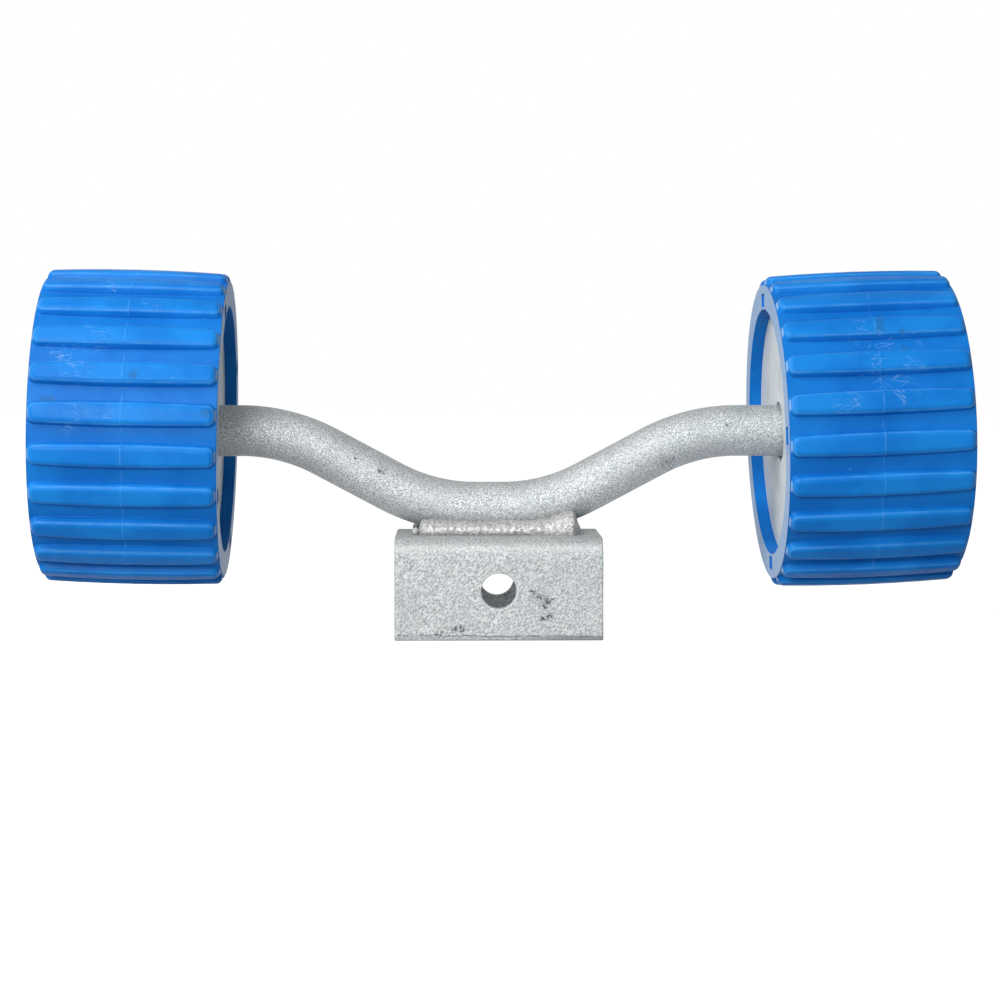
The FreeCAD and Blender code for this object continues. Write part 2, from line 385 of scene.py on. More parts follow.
def cutPockets(piece, phase):  # shallow moulded pockets in both end faces
    inner, outer = tyre["pocketInner"], tyre["pocketOuter"]
    step = 360 / tyre["pocketCount"]

    def inPocket(face):
        middle = face.calc_center_median()
        radius = math.hypot(middle.y, middle.z) / mm
        angle = math.degrees(math.atan2(-middle.z, -middle.y)) - phase
        fromMiddle = abs((angle + step / 2) % step - step / 2)
        return abs(face.normal.x) > 0.9 and inner < radius < outer and fromMiddle < tyre["pocketHalfDegrees"]

    select(piece)
    editMode()
    for side in (-1, 1):
        choose(piece, "FACE", lambda face: inPocket(face) and face.normal.x * side > 0)
        push(x=-side * tyre["pocketDepth"])
    objectMode()


print("modelling the tyres")
leftTyre = makeTyre()
rename(leftTyre, "leftTyre")
bpy.ops.object.duplicate()
rightTyre = bpy.context.active_object
rename(rightTyre, "rightTyre")
halfPitch = 180 / tyre["ribCount"]
for piece, side in ((leftTyre, -1), (rightTyre, 1)):
    spin = tyre["ribPhase"][side] + halfPitch
    cutPockets(piece, tyre["pocketPhase"][side] - spin)
    hangOnAxle(piece, side, spin)
    smooth(piece)


# Core: white hub, web and rim inside each tyre, with the web on the inner side
core = {
    "halfLength": 30.3,
    "radius": 47.95,
    "rimWall": 4.0,
    "webThickness": 4.0,
    "hubRadius": 18.58,
    "hubOuterEnd": 21.0,
    "boreRadius": 13.78,
    "landRadius": 11.6,
    "landEnd": -22.3,
    "spokeCount": 6,
    "spokeThickness": 4.0,
    "spokeHubEnd": 18.0,
    "spokeRimEnd": 24.3,
    "edgeRound": 0.7,
    "sides": 128,
}


def makeCore():
    inner = -core["halfLength"]
    web = inner + core["webThickness"]
    rimInside = core["radius"] - core["rimWall"]
    body = turned("core", [
        (inner, core["landRadius"]),
        (inner, core["radius"]),
        (core["halfLength"], core["radius"]),
        (core["halfLength"], rimInside),
        (web, rimInside),
        (web, core["hubRadius"]),
        (core["hubOuterEnd"], core["hubRadius"]),
        (core["hubOuterEnd"], core["boreRadius"]),
        (core["landEnd"], core["boreRadius"]),
        (core["landEnd"], core["landRadius"]),
    ], core["sides"])
    roundEdges(body, core["edgeRound"])
    sunk = core["rimWall"] / 2  # how far a spoke's ends reach into the rim, the hub and the web
    low, high = core["hubRadius"] - sunk, rimInside + sunk
    start = web - sunk
    spokes = []
    about = ((start + core["spokeHubEnd"]) / 2, 0, (low + high) / 2)
    for number in range(core["spokeCount"]):
        deselect()
        bpy.ops.mesh.primitive_cube_add(size=mm, location=[value * mm for value in about])
        spoke = startPiece("spoke")
        stretch(core["spokeHubEnd"] - start, core["spokeThickness"], high - low, about)
        choose(spoke, "VERT", lambda vert: vert.co.x > 0 and vert.co.z > about[2] * mm)
        shift(x=core["spokeRimEnd"] - core["spokeHubEnd"])
        choose(spoke, "EDGE", lambda edge: all(vert.co.x > 0 for vert in edge.verts)
               and abs(edge.verts[0].co.z - edge.verts[1].co.z) > 1 * mm)
        rounding(core["edgeRound"], 3)
        objectMode()
        spoke.rotation_euler = (math.radians(number * 360 / core["spokeCount"]), 0, 0)
        settle()
        spokes.append(spoke)
    combine(body, joined(spokes), "UNION")
    return body


print("modelling the cores")
leftCore = makeCore()
rename(leftCore, "leftCore")
bpy.ops.object.duplicate()
rightCore = bpy.context.active_object
rename(rightCore, "rightCore")
for piece, side in ((leftCore, -1), (rightCore, 1)):
    hangOnAxle(piece, side, 0)
    smooth(piece, 30)


# Bar: round steel bar, bent four times, with a cross hole near each end
bar = {
    "radius": 10.0,
    "bendDegrees": 28.0,
    "bendRadius": 70.0,
    "rise": 30.1,
    "flatLength": 11.3,
    "middleShift": -3.4,
    "endHeight": 60.6,
    "end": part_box("axle_rod")[1].x / mm,
    "endRound": 1.5,
    "pinPlace": 168.55,
    "pinHoleRadius": 2.6,
    "pinHoleSides": 32,
    "sides": 64,
    "bendSteps": 16,
}


def makeBar():
    bend = math.radians(bar["bendDegrees"])
    reach = bar["bendRadius"] * math.tan(bend / 2)
    lowCorner = bar["flatLength"] / 2 + reach
    highCorner = lowCorner + bar["rise"] / math.tan(bend)
    leftEnd = bar["middleShift"] - highCorner - reach
    rightEnd = bar["middleShift"] + highCorner + reach
    slopeLength = bar["rise"] / math.sin(bend) - 2 * reach
    place = Vector((leftEnd, 0, bar["endHeight"]))
    deselect()
    bpy.ops.mesh.primitive_circle_add(
        vertices=bar["sides"],
        radius=bar["radius"] * mm,
        fill_type="NGON",
        location=(-bar["end"] * mm, 0, bar["endHeight"] * mm),
        rotation=(0, math.pi / 2, 0),
    )
    piece = startPiece("bentBar")
    heading = 0.0  # downward slope of the bar, in radians

    def straight(length):
        nonlocal place
        step = Vector((math.cos(heading), 0, -math.sin(heading))) * length
        push(*step)
        place = place + step

    def bent(turn):
        nonlocal place, heading
        up = Vector((math.sin(heading), 0, math.cos(heading)))
        centre = place - up * math.copysign(bar["bendRadius"], turn)
        bpy.ops.mesh.spin(steps=bar["bendSteps"], angle=-turn, center=centre * mm, axis=(0, 1, 0))
        heading += turn
        newUp = Vector((math.sin(heading), 0, math.cos(heading)))
        place = centre + newUp * math.copysign(bar["bendRadius"], turn)

    push(leftEnd + bar["end"])
    bent(bend)
    straight(slopeLength)
    bent(-bend)
    straight(bar["flatLength"])
    bent(-bend)
    straight(slopeLength)
    bent(bend)
    push(bar["end"] - rightEnd)
    choose(piece, "EDGE", lambda edge: corner(edge, 60))
    rounding(bar["endRound"], 4)
    closeUp(piece)
    drills = []
    for side in (-1, 1):
        deselect()
        bpy.ops.mesh.primitive_cylinder_add(
            vertices=bar["pinHoleSides"], radius=bar["pinHoleRadius"] * mm, depth=4 * bar["radius"] * mm,
            location=(side * bar["pinPlace"] * mm, 0, bar["endHeight"] * mm),
        )
        drills.append(bpy.context.active_object)
    combine(piece, joined(drills), "DIFFERENCE")
    smooth(piece)
    return piece


print("bending the bar")
bentBar = makeBar()


# Bracket: plate folded into a channel, open side down, with one hole through both sides
bracket = {
    "length": 80.0,
    "depth": 60.0,
    "height": 39.5,
    "bottom": -19.0,
    "plate": 5.0,
    "foldOutside": 9.0,
    "foldSteps": 10,
    "holeRadius": 6.75,
    "holeSides": 72,
    "edgeRound": 0.6,
}


def makeBracket():
    top = bracket["bottom"] + bracket["height"]
    middle = (0, 0, bracket["bottom"] + bracket["height"] / 2)
    deselect()
    bpy.ops.mesh.primitive_cube_add(size=mm, location=[value * mm for value in middle])
    piece = startPiece("foldedBracket")
    stretch(bracket["length"], bracket["depth"], bracket["height"], middle)
    choose(piece, "EDGE", lambda edge: all(abs(vert.co.z - top * mm) < 0.1 * mm for vert in edge.verts)
           and abs(edge.verts[0].co.x - edge.verts[1].co.x) > 1 * mm)
    rounding(bracket["foldOutside"], bracket["foldSteps"])
    choose(piece, "FACE", lambda face: abs(face.normal.x) > 0.9 or face.normal.z < -0.9)
    bpy.ops.mesh.delete(type="FACE")
    objectMode()
    applyModifier(piece, "SOLIDIFY", thickness=bracket["plate"] * mm, offset=-1, use_even_offset=True)
    deselect()
    bpy.ops.mesh.primitive_cylinder_add(
        vertices=bracket["holeSides"], radius=bracket["holeRadius"] * mm, depth=2 * bracket["depth"] * mm,
        rotation=(math.pi / 2, 0, 0),
    )
    combine(piece, bpy.context.active_object, "DIFFERENCE")
    roundEdges(piece, bracket["edgeRound"])
    smooth(piece, 30)
    return piece


print("folding the bracket")
foldedBracket = makeBracket()


# Weld beads: rough run of weld along each side of the bar, with a spatter ball and a lump at its ends
weld = {
    "left": -30.8,
    "right": 33.4,
    "neck": 28.8,  # from here the lump falls away to its foot
    "step": 0.5,
    "sides": 40,
    "across": 10.1,  # middle of the bead from the bar's centre line
    "plateTop": 20.5,
    "middleHeight": 1.7,  # of the bead above the plate
    "depth": 6.9,
    "height": 3.5,
    "climbLeft": 0.15,  # how much of the bar's lift the bead follows at its left and right ends
    "climbRight": 0.5,
    "lumpStart": 19.5,
    "lumpLength": 13.0,
    "lump": 1.5,
    "lumpDepth": 0.6,  # how much of the lump's height it also grows in depth
    "rippleStep": 2.6,
    "ripple": 0.07,
    "longWander": (0.25, 4.1, 2),  # each wave's height, its length over 2 pi and how it takes the seed
    "shortWander": (0.2, 2.3, 1),
    "wanderShares": (0.12, 0.4, 0.5),  # sideways, in depth and in height
    "liftShare": 0.1,  # how much of the bar's lift the bead moves up and loses in depth
    "endLength": 2.2,  # rounded left end
    "endStart": 0.3,
    "footFall": 0.88,  # how much of the bead is gone at its right end
    "thinnest": 0.15,
    "sunk": 0.4,  # underside below the top of the plate
    "ballPlace": (-32.2, -13.2, 21.9),
    "ballRadius": 1.5,
    "ballHeight": 0.92,  # of its width
    "roughSize": 2.6,
    "roughHeight": 0.75,
}


def barLift(x):  # how far the bar's underside is above the bracket at x
    pastFlat = max(0.0, abs(x - bar["middleShift"]) - bar["flatLength"] / 2)
    under = bar["bendRadius"] + bar["radius"]
    return under * (1 - math.cos(math.asin(pastFlat / under)))


def makeWeld(name, side, seed):
    count = int((weld["right"] - weld["left"]) / weld["step"])
    sideShare, depthShare, upShare = weld["wanderShares"]
    stations = []
    for number in range(count + 1):
        x = weld["left"] + number * weld["step"]
        lift = barLift(x)
        ripple = weld["ripple"] * math.sin(2 * math.pi * x / weld["rippleStep"] + seed)
        wander = sum(
            size * math.sin(x / length + turns * seed)
            for size, length, turns in (weld["longWander"], weld["shortWander"])
        )
        alongLump = min(1.0, max(0.0, (x - weld["lumpStart"]) / weld["lumpLength"]))
        lump = weld["lump"] * max(0.0, math.sin(math.pi * alongLump))
        climb = weld["climbLeft"] if x < bar["middleShift"] else weld["climbRight"]
        height = weld["height"] + climb * lift + lump + ripple + wander * upShare
        depth = weld["depth"] - weld["liftShare"] * lift + weld["lumpDepth"] * lump + ripple + wander * depthShare
        fromEnd = min(1.0, (x - weld["left"] + weld["endStart"]) / weld["endLength"])
        rounded = math.sqrt(1 - (1 - fromEnd) ** 2)
        if x > weld["neck"]:
            fallen = (x - weld["neck"]) / (weld["right"] - weld["neck"])
            rounded = 1 - weld["footFall"] * fallen ** 2 * (3 - 2 * fallen)
        full = max(weld["thinnest"], rounded)
        y = side * (weld["across"] + sideShare * wander)
        z = weld["plateTop"] + (weld["middleHeight"] + weld["liftShare"] * lift) * rounded
        stations.append((x, y, z, depth * full, height * full))
    bead = ringsAlongX(name, stations, weld["sides"], True)
    deselect()
    x, y, z = weld["ballPlace"]
    bpy.ops.mesh.primitive_ico_sphere_add(
        subdivisions=4, radius=weld["ballRadius"] * mm, location=(x * mm, -side * y * mm, z * mm)
    )
    ball = startPiece("spatterBall")
    stretch(z=weld["ballHeight"], about=(x, -side * y, z))
    objectMode()
    lumps = bpy.data.textures.new(name + "Lumps", "CLOUDS")
    lumps.noise_scale = weld["roughSize"] * mm
    lumps.noise_depth = 2
    applyModifier(bead, "DISPLACE", texture=lumps, strength=weld["roughHeight"] * mm, mid_level=0.5,
                  texture_coords="LOCAL")
    select(bead)
    editMode()
    foot = weld["plateTop"] - weld["sunk"]
    choose(bead, "VERT", lambda vert: vert.co.z < foot * mm)
    stretch(z=0, about=(0, 0, foot))  # flat underside, sunk in the plate
    objectMode()
    bead = joined([bead, ball])
    smooth(bead, 80)
    return bead


print("laying the welds")
frontWeld = makeWeld("frontWeld", -1, 0.4)
rearWeld = makeWeld("rearWeld", 1, 2.2)


# Fasteners: a washer outside each roller and a split pin through the bar
fastener = {
    "washerBore": 10.6,
    "washerRadius": 18.5,
    "washerThickness": 3.0,
    "washerInner": 162.95,
    "washerRound": 0.35,
    "washerSides": 72,
    "pinRadius": 2.5,
    "eyeBore": 2.2,
    "legPastBar": 2.0,
    "spreadDegrees": 35.0,
    "tailLength": 7.0,
    "tailTaper": 0.92,
    "wireRound": 0.3,
    "wireSides": 24,
    "eyeSteps": (40, 20),  # round the eye and round its wire
    "slit": 0.3,
    "seatGap": 0.1,
}


def makeWashers():
    inner = fastener["washerInner"]
    outer = inner + fastener["washerThickness"]
    rings = []
    for side in (-1, 1):
        ring = turned("washer", [
            (side * inner, fastener["washerBore"]),
            (side * inner, fastener["washerRadius"]),
            (side * outer, fastener["washerRadius"]),
            (side * outer, fastener["washerBore"]),
        ], fastener["washerSides"])
        roundEdges(ring, fastener["washerRound"])
        ring.location.z = bar["endHeight"] * mm
        settle()
        rings.append(ring)
    washers = joined(rings)
    rename(washers, "flatWashers")
    smooth(washers)
    return washers


def makeSplitPin(x):  # half-round wire: a round eye on the bar, two legs through it, tails spread front and back
    radius = fastener["pinRadius"]
    bend = bar["radius"] + fastener["legPastBar"]
    eyeRadius = fastener["eyeBore"] + radius
    eyeHeight = bar["radius"] + fastener["seatGap"] + eyeRadius
    spread = math.radians(fastener["spreadDegrees"])
    halves = []
    for side in (-1, 1):
        deselect()
        bpy.ops.mesh.primitive_circle_add(vertices=fastener["wireSides"], radius=radius * mm, fill_type="NGON")
        wire = startPiece("pinLeg")
        cutAcross((0, 0, 0), (0, 1, 0))
        choose(wire, "VERT", lambda vert: vert.co.y * side < -0.001 * mm)
        bpy.ops.mesh.delete(type="VERT")
        everything()
        shift(y=side * fastener["slit"] / 2, z=-bend)
        push(z=bend + bar["radius"] + radius)
        choose(wire, "FACE", lambda face: face.normal.z < -0.9
               or (face.normal.z > 0.9 and face.calc_center_median().z < 0))
        push(y=side * math.sin(spread) * fastener["tailLength"], z=-math.cos(spread) * fastener["tailLength"])
        bpy.ops.transform.resize(value=(fastener["tailTaper"], fastener["tailTaper"], 1))
        closeUp(wire)
        halves.append(wire)
    deselect()
    around, section = fastener["eyeSteps"]
    bpy.ops.mesh.primitive_torus_add(
        major_segments=around, minor_segments=section, major_radius=(fastener["eyeBore"] + radius / 2) * mm,
        minor_radius=radius / 2 * mm, location=(0, 0, eyeHeight * mm), rotation=(0, math.pi / 2, 0),
    )
    eye = startPiece("pinEye")
    stretch(x=2)  # the wire is half round, so the eye is twice as wide as it is thick
    objectMode()
    pin = joined([eye] + halves)
    roundEdges(pin, fastener["wireRound"], segments=2, degrees=60)
    pin.location = (x * mm, 0, bar["endHeight"] * mm)
    settle()
    return pin


print("making the fasteners")
flatWashers = makeWashers()
splitPins = joined([makeSplitPin(-bar["pinPlace"]), makeSplitPin(bar["pinPlace"])])
rename(splitPins, "splitPins")
smooth(splitPins)


# Which piece stands for which part of the frame, and what it rides on
riders = [
    (leftTyre, "left_tyre", "left_roller", "blue_sleeve"),
    (rightTyre, "right_tyre", "right_roller", "blue_sleeve"),
    (leftCore, "left_core", "left_roller", "white_core"),
    (rightCore, "right_core", "right_roller", "white_core"),
    (bentBar, "axle_rod", "frame", "galvanised_bar"),
    (foldedBracket, "bracket", "frame", "galvanised_plate"),
    (frontWeld, "weld_bead_front", "frame", "galvanised_weld"),
    (rearWeld, "weld_bead_rear", "frame", "galvanised_weld"),
    (flatWashers, "washers", "frame", "zinc_fastener"),
    (splitPins, "split_pins", "frame", "zinc_fastener"),
]
for piece, node, body, slot in riders:
    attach(piece, body)
    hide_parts(node)
bpy.context.view_layer.update()


# Materials: one function adds a node, the others build a pattern that several materials share
soft = {"interpolation_type": "SMOOTHSTEP"}
colours = {"data_type": "RGBA"}
times, plus, minus = {"operation": "MULTIPLY"}, {"operation": "ADD"}, {"operation": "SUBTRACT"}
positive, larger = {"operation": "ABSOLUTE"}, {"operation": "MAXIMUM"}


def paint(code):  # an sRGB hex colour as linear light
    parts = [int(code[place:place + 2], 16) / 255 for place in (1, 3, 5)]
    return [part / 12.92 if part <= 0.04045 else ((part + 0.055) / 1.055) ** 2.4 for part in parts] + [1]


def plug(tree, node, *values, **links):  # the first sockets in order, others by name or as i and their number
    sockets = list(zip(node.inputs, values))
    for name, value in links.items():
        sockets.append((node.inputs[int(name[1:]) if name[1:].isdigit() else name.replace("_", " ")], value))
    for socket, value in sockets:
        if isinstance(value, bpy.types.Node):  # a node stands for its first output that is in use
            value = next(output for output in value.outputs if output.enabled)
        if isinstance(value, bpy.types.NodeSocket):
            tree.links.new(value, socket)
        else:
            socket.default_value = value


def addNode(tree, kind, settings=None, *values, **links):  # one node, its settings and what its sockets get
    node = tree.nodes.new("ShaderNode" + kind)
    for name, value in (settings or {}).items():
        setattr(node, name, value)
    plug(tree, node, *values, **links)
    return node


def startMaterial(name):
    material = bpy.data.materials.new(name)
    material.use_nodes = True
    tree = material.node_tree
    place = addNode(tree, "TexCoord").outputs["Object"]
    return material, tree, tree.nodes["Principled BSDF"], place


def dress(piece, material):
    piece.data.materials.clear()
    piece.data.materials.append(material)


def photoPoint(pixelX, pixelY):  # where the line of sight through a photo pixel meets the object
    half = view["photoSize"] / 2
    spread = camera.data.sensor_width / camera.data.lens / view["photoSize"]
    sight = camera.matrix_world.to_3x3() @ Vector(((pixelX - half) * spread, (half - pixelY) * spread, -1))
    hit = bpy.context.scene.ray_cast(
        bpy.context.evaluated_depsgraph_get(), camera.matrix_world.translation, sight.normalized()
    )
    return hit[1]


def patchy(tree, place, sizeMm, detail, start, full, least=0.0, most=1.0):  # noise that swells between two levels
    noise = addNode(tree, "TexNoise", Vector=place, Scale=1 / (sizeMm * mm), Detail=detail)
    return addNode(tree, "MapRange", soft, noise, start, full, least, most)


def overlaid(tree, colour, coat, *masks):  # a coat (its colour and share) over a colour, where the masks let it
    code, share = coat
    amount = masks[0]
    for factor in (*masks[1:], share):
        amount = addNode(tree, "Math", times, amount, factor)
    return addNode(tree, "Mix", colours, amount, i6=colour, i7=paint(code))


def aboveWavyLine(tree, place, levelMm, waveMm, reachMm):  # height over a line at this level that wanders
    noise = addNode(tree, "TexNoise", Vector=place, Scale=1 / (waveMm * mm), Detail=3.0)
    wave = addNode(tree, "Math", times, addNode(tree, "Math", minus, noise, 0.5), reachMm * mm)
    height = addNode(tree, "SeparateXYZ", Vector=place).outputs["Z"]
    return addNode(tree, "Math", minus, addNode(tree, "Math", plus, height, wave), levelMm * mm)


def marks(tree, place, spots, raggedMm):  # 1 inside any of the spots (pixel x, pixel y, radius mm), ragged edges
    reach = 1.2 * raggedMm  # the most that the noise moves an edge either way
    fullPart = 0.35  # of a spot's radius
    ragged = addNode(tree, "TexNoise", Vector=place, Scale=1 / (raggedMm * mm), Detail=3.0).outputs["Color"]
    pushed = addNode(tree, "VectorMath", {"operation": "SCALE"}, Vector=ragged, Scale=2 * reach * mm)
    moved = addNode(tree, "VectorMath", plus, place, pushed)
    together = None
    for pixelX, pixelY, radius in spots:
        centre = photoPoint(pixelX, pixelY) + Vector((1, 1, 1)) * reach * mm
        away = addNode(tree, "VectorMath", {"operation": "DISTANCE"}, moved, centre)
        spot = addNode(tree, "MapRange", soft, away, radius * mm, radius * fullPart * mm)
        together = spot if together is None else addNode(tree, "Math", larger, together, spot)
    return together


# Thermoplastic rubber, injection moulded: a saturated blue with a soft sheen, paler where it was scuffed, with
# painted shade in the grooves, painted highlights on the rib edges and a painted reflection on the end faces.
# A coat is a colour and its share. A pattern is its size in mm, its detail, the noise levels where it
# starts and is full, and sometimes what it is worth there.
rubber = {
    "deep": "#1072c8",
    "plain": "#1881d6",
    "grimy": ("#0b56a6", 0.3),  # painted shade in the grooves between the ribs
    "edgeHighlight": ("#6db4f0", 0.24),  # painted highlight along the rib edges
    "parting": ("#6db4f0", 0.22),  # where the mould halves met
    "scratched": ("#9cc7ee", 0.27),
    "flecked": ("#9cc7ee", 0.6),
    "smudged": ("#2a5f86", 0.45),
    "endFaceReflection": ("#c0dbf3", 0.6),  # painted reflection: the end faces, and every face that turns along the axis, are paler
    "cloud": (22.0, 3.0, 0.35, 0.65),
    "grimyHeights": (0.4, 1.6),  # above the groove, full and gone
    "edgeHighlightBand": (0.8, 0.1, 0.5),  # its middle below a rib's top, then how far from there it is full and gone
    "edgeHighlightPatch": (8.0, 2.0, 0.35, 0.6, 0.45, 1.0),
    "partingLine": (0.15, 0.35),  # how far from the middle it is full and gone
    "partingPatch": (3.0, 2.0, 0.42, 0.6),
    "scratchMm": 3.2,
    "scratchStretch": 16,
    "scratchSets": ((0.6, 0.46), (-0.5, 0.52), (0.15, 0.57)),  # turn in radians, level of the noise they follow
    "scratchThin": (0.004, 0.016),  # how far from that level a line is full and gone
    "scratchPatch": (3.6, 2.0, 0.4, 0.6),
    "scratchRough": 0.2,
    "scratchDepth": -0.15,
    "fleck": (1.1, 1.0, 0.80, 0.84),
    "endFaceReflectionFacing": (0.85, 0.98),
    "raggedMm": 2.0,
    "sheen": (3.0, 3.0, 0.3, 0.7, 0.36, 0.46),  # worth its roughness
    "rippleMm": 6.0,
    "grainMm": 0.9,
    "grainHeight": 0.12,
    "reliefMm": 0.3,
    "reliefShare": 0.5,
    "scuffs": [
        (84, 334, 8.0), (98, 340, 7.0), (62, 356, 9.0), (76, 368, 8.0), (110, 288, 5.0), (152, 302, 5.0),
        (74, 408, 7.0), (66, 425, 6.0), (104, 418, 6.0), (866, 338, 8.0), (882, 346, 9.0), (868, 360, 9.0),
        (882, 374, 9.0), (848, 402, 7.0), (908, 372, 8.0), (862, 322, 5.0), (910, 344, 6.0), (904, 392, 7.0),
    ],
    "smudges": [
        (42, 401, 2.2), (50, 399, 2.0), (134, 374, 2.6), (879, 320, 2.6), (881, 328, 2.4), (903, 331, 1.8),
        (905, 349, 1.8), (205, 413, 2.2),
    ],
}


def ribShadingAndParting(tree, place, colour):  # painted shade in the grooves, painted highlights along the rib edges and a pale parting line, by the places on the flat strip
    flatPlace = addNode(tree, "Attribute", {"attribute_name": "flatPlace"}).outputs["Vector"]
    flat = addNode(tree, "SeparateXYZ", Vector=flatPlace)
    # painted shade: darker low in the grooves, where the ribs shade them
    full, gone = [-height * mm for height in rubber["grimyHeights"]]
    inGroove = addNode(tree, "MapRange", soft, flat.outputs["Y"], gone, full)
    colour = overlaid(tree, colour, rubber["grimy"], inGroove)
    # painted highlight on the rounded upper and lower edges of each rib
    middle, full, gone = [value * mm for value in rubber["edgeHighlightBand"]]
    fromMiddle = addNode(tree, "Math", {"operation": "DIVIDE"}, flat.outputs["X"], tyre["width"] / 2 * mm)
    squared = addNode(tree, "Math", times, fromMiddle, fromMiddle)
    fall = addNode(tree, "Math", times, squared, tyre["ribTipFall"] * mm)
    belowTop = addNode(tree, "Math", plus, flat.outputs["Y"], tyre["ribHeight"] * mm)
    belowTop = addNode(tree, "Math", minus, belowTop, fall)
    fromEdge = addNode(tree, "Math", positive, addNode(tree, "Math", minus, belowTop, middle))
    edge = addNode(tree, "MapRange", soft, fromEdge, gone, full)
    colour = overlaid(tree, colour, rubber["edgeHighlight"], edge, patchy(tree, place, *rubber["edgeHighlightPatch"]))
    full, gone = [value * mm for value in rubber["partingLine"]]
    aside = addNode(tree, "Math", positive, flat.outputs["X"])
    parting = addNode(tree, "MapRange", soft, aside, gone, full)
    return overlaid(tree, colour, rubber["parting"], parting, patchy(tree, place, *rubber["partingPatch"]))


def scratched(tree, place):  # three crossing sets of thin, nearly straight scratches, where the sleeve is scuffed
    full, gone = rubber["scratchThin"]
    lines = None
    for turn, level in rubber["scratchSets"]:
        along = addNode(tree, "Mapping", {"vector_type": "TEXTURE"}, Vector=place, Rotation=(0, turn, 0),
                        Scale=(rubber["scratchStretch"], 1, 1))
        noise = addNode(tree, "TexNoise", Vector=along, Scale=1 / (rubber["scratchMm"] * mm), Detail=1.0)
        away = addNode(tree, "Math", positive, addNode(tree, "Math", minus, noise, level))
        line = addNode(tree, "MapRange", soft, away, gone, full)
        lines = line if lines is None else addNode(tree, "Math", larger, lines, line)
    patches = addNode(tree, "Math", times, lines, patchy(tree, place, *rubber["scratchPatch"]))
    return addNode(tree, "Math", times, patches, marks(tree, place, rubber["scuffs"], rubber["raggedMm"]))


def mouldedRubber():
    material, tree, shader, place = startMaterial("mouldedBlueRubber")
    clouds = patchy(tree, place, *rubber["cloud"])
    colour = addNode(tree, "Mix", colours, clouds, i6=paint(rubber["deep"]), i7=paint(rubber["plain"]))
    colour = ribShadingAndParting(tree, place, colour)
    scratches = scratched(tree, place)
    flecks = patchy(tree, place, *rubber["fleck"])
    dirt = marks(tree, place, rubber["smudges"], rubber["raggedMm"])
    # painted reflection of the white surround on faces that turn along the axis
    facing = addNode(tree, "SeparateXYZ", Vector=addNode(tree, "NewGeometry").outputs["Normal"]).outputs["X"]
    start, full = rubber["endFaceReflectionFacing"]
    endFace = addNode(tree, "MapRange", soft, addNode(tree, "Math", positive, facing), start, full)
    colour = overlaid(tree, colour, rubber["scratched"], scratches)
    colour = overlaid(tree, colour, rubber["flecked"], flecks)
    colour = overlaid(tree, colour, rubber["smudged"], dirt)
    colour = overlaid(tree, colour, rubber["endFaceReflection"], endFace)
    sheen = patchy(tree, place, *rubber["sheen"])
    dulled = addNode(tree, "Math", times, scratches, rubber["scratchRough"])
    ripple = addNode(tree, "TexNoise", Vector=place, Scale=1 / (rubber["rippleMm"] * mm), Detail=2.0)
    grain = addNode(tree, "TexNoise", Vector=place, Scale=1 / (rubber["grainMm"] * mm), Detail=2.0)
    grain = addNode(tree, "Math", times, grain, rubber["grainHeight"])
    skin = addNode(tree, "Math", plus, ripple, grain)
    furrows = addNode(tree, "Math", times, scratches, rubber["scratchDepth"])
    height = addNode(tree, "Math", plus, skin, furrows)
    bump = addNode(tree, "Bump", Strength=rubber["reliefShare"], Distance=rubber["reliefMm"] * mm, Height=height)
    plug(tree, shader, Base_Color=colour, Roughness=addNode(tree, "Math", plus, sheen, dulled), Normal=bump,
         IOR=1.5, Specular_IOR_Level=0.1)
    return material


# Nylon, injection moulded: an off-white with a satin surface and a trace of dust
nylon = {
    "clean": "#dfe6ea",
    "dusty": "#c9d2d8",
    "dust": (16.0, 4.0, 0.4, 0.7),
    "rough": 0.45,
    "grainMm": 2.0,
    "reliefMm": 0.1,
    "reliefShare": 0.3,
}


def mouldedNylon():
    material, tree, shader, place = startMaterial("mouldedWhiteNylon")
    dust = patchy(tree, place, *nylon["dust"])
    colour = addNode(tree, "Mix", colours, dust, i6=paint(nylon["clean"]), i7=paint(nylon["dusty"]))
    grain = addNode(tree, "TexNoise", Vector=place, Scale=1 / (nylon["grainMm"] * mm), Detail=3.0)
    bump = addNode(tree, "Bump", Strength=nylon["reliefShare"], Distance=nylon["reliefMm"] * mm, Height=grain)
    plug(tree, shader, Base_Color=colour, Normal=bump, Roughness=nylon["rough"], IOR=1.53)
    return material


# Hot-dip galvanised steel: zinc frozen in a fine orange-peel grain, lighter on its raised grain and darker in its
# hollows (its own tone, with painted highlight and shade of the relief), with dull blooms and dark pits
zinc = {
    "wrinkleShare": 0.7,
    "fineShare": 0.3,
    "grainShadeAndTone": (0.42, 0.58),  # relief where the low colour ends and the high one starts: painted shade in the hollows and painted highlight on the raised grain, with the zinc's own tone
    "bloom": (14.0, 3.0, 0.35, 0.7),
    # pale ring round the hole: thicker zinc and a painted highlight on its edge
    "rim": ("#eef1f1", 0.8),
    "rimUnevenMm": (4.0, 0.8),  # size and reach of its wandering edge
    # painted highlight along the bracket's fold
    "foldHighlight": ("#f1f3f3", 0.36),
    "foldWaveMm": (3.0, 2.0),
    "foldGrain": (0.35, 0.6, 0.35, 1.0),  # how far the fine grain shows through
    # darker band at the lower edge: a zinc drip band, with painted shade that grows towards the right
    "dripBandAndShade": ("#7b8081", 0.9),
    "dripWaveMm": (9.0, 2.4),
    "shadeTowardsRight": (0.0, 32.0, 0.4, 1.0),  # the painted shade's share grows between these places, towards the right
    "dripLine": ("#55595a", 0.7),
    "dripLineFull": 0.3,
    "dripLinePatch": (5.0, 2.0, 0.4, 0.55),
    "stain": ("#85878a", 0.35),
    "stainRaggedMm": 2.2,
    "pit": ("#4d4f52", 0.9),
    "pitRaggedMm": 0.9,
    "pitPatch": (1.0, 2.0, 0.45, 0.6),
    "specular": 0.3,
    "roughFine": (0.3, 0.7, -0.08, 0.1),  # levels of the fine grain, and what they add to the roughness
}


